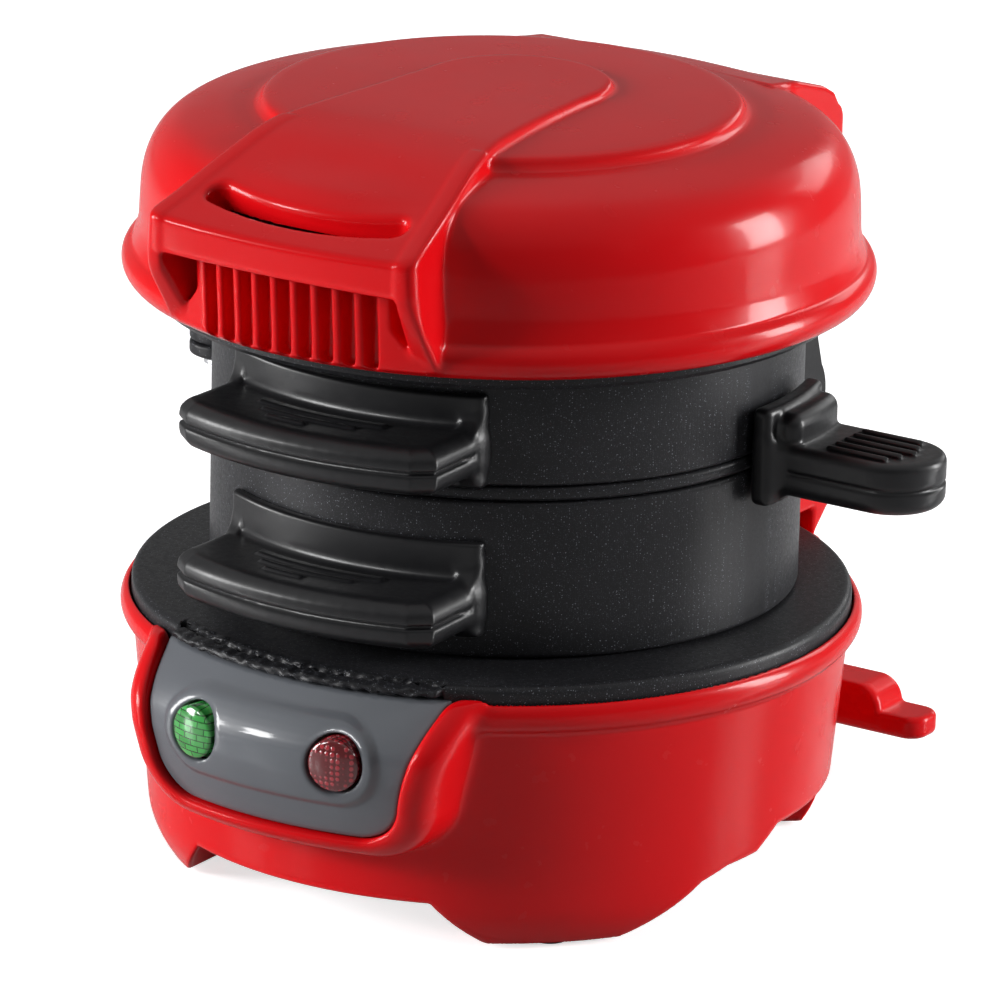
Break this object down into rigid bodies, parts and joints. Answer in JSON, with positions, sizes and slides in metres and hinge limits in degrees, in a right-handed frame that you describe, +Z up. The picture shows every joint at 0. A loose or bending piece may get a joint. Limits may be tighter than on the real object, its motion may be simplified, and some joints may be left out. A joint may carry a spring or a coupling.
{
  "type": "breakfast sandwich maker",
  "caption": "Round electric breakfast sandwich maker: footed base with indicator lamps, stacked cooking rings with a swing-out plate between them, and a domed lid, on one rear hinge.",
  "frame": {"origin": "on the surface that the feet rest on, under the centre of the round base", "axes": "+Z up, -Y towards the front with the lamps and handles, +X to the right, where the cooking plate's handle stands out"},
  "size_m": [0.1625, 0.1622, 0.1492],
  "materials": {
    "red_shell": "high-gloss moulded plastic",
    "grey_panel": "glossy moulded plastic",
    "green_lens": "clear tinted moulding, faceted inside",
    "red_lens": "clear tinted moulding, faceted inside",
    "black_coated_metal": "black non-stick coating with a fine sparkle",
    "black_plastic": "satin moulded plastic",
    "black_steel": "satin black enamel",
    "bright_steel": "plain bright steel",
    "element_steel": "heat-tinted steel tube",
    "shield_aluminium": "mill finish sheet",
    "ceramic": "unglazed off-white",
    "clear_lamp": "small clear lamp",
    "wire_sleeve": "woven heat-proof sleeve",
    "pad_rubber": "matte"
  },
  "bodies": {
    "base": {"base_shell": "red_shell", "bottom_cover": "black_plastic", "bottom_cover_screws": "bright_steel", "foot_pads": "pad_rubber", "control_panel": "grey_panel", "green_lens": "green_lens", "red_lens": "red_lens", "lamp_carrier": "ceramic", "indicator_lamps": "clear_lamp", "lower_heating_plate": "black_coated_metal", "lower_heating_element": "element_steel", "lower_heat_shield": "shield_aluminium", "lower_plate_screws": "bright_steel", "thermostat": "ceramic", "thermal_fuse": "ceramic", "terminal_block": "ceramic", "base_wiring": "wire_sleeve", "cord_gland": "black_plastic", "cord_wrap": "red_shell", "cord_wrap_screws": "bright_steel", "hinge_bracket": "black_steel", "hinge_bracket_screws": "bright_steel", "hinge_pin": "black_steel"},
    "lower_leaf": {"lower_ring": "black_coated_metal", "lower_ring_handle": "black_plastic", "lower_handle_screws": "bright_steel"},
    "upper_leaf": {"upper_ring": "black_coated_metal", "upper_ring_handle": "black_plastic", "upper_handle_screws": "bright_steel", "plate_pivot_pin": "bright_steel"},
    "swing_plate": {"cooking_plate": "black_coated_metal", "plate_handle": "black_plastic", "plate_handle_screws": "bright_steel"},
    "lid": {"lid_shell": "red_shell", "upper_heating_plate": "black_coated_metal", "upper_heating_element": "element_steel", "upper_heat_shield": "shield_aluminium", "upper_plate_screws": "bright_steel", "upper_thermal_fuse": "ceramic", "lid_wiring": "wire_sleeve", "lid_hinge_arms": "black_steel", "lid_arm_screws": "bright_steel"}
  },
  "joints": [
    {"name": "lower_ring_hinge", "type": "hinge", "parent": "base", "child": "lower_leaf", "pos_m": [0, 0.066, 0.076], "axis": [-1, 0, 0], "range_deg": [0, 20]},
    {"name": "upper_ring_hinge", "type": "hinge", "parent": "lower_leaf", "child": "upper_leaf", "pos_m": [0, 0.066, 0.076], "axis": [-1, 0, 0], "range_deg": [0, 25]},
    {"name": "cooking_plate_swing", "type": "hinge", "parent": "upper_leaf", "child": "swing_plate", "pos_m": [-0.065, 0.004, 0.0852], "axis": [0, 0, -1], "range_deg": [0, 110]},
    {"name": "lid_hinge", "type": "hinge", "parent": "upper_leaf", "child": "lid", "pos_m": [0, 0.066, 0.076], "axis": [-1, 0, 0], "range_deg": [0, 75]}
  ]
}
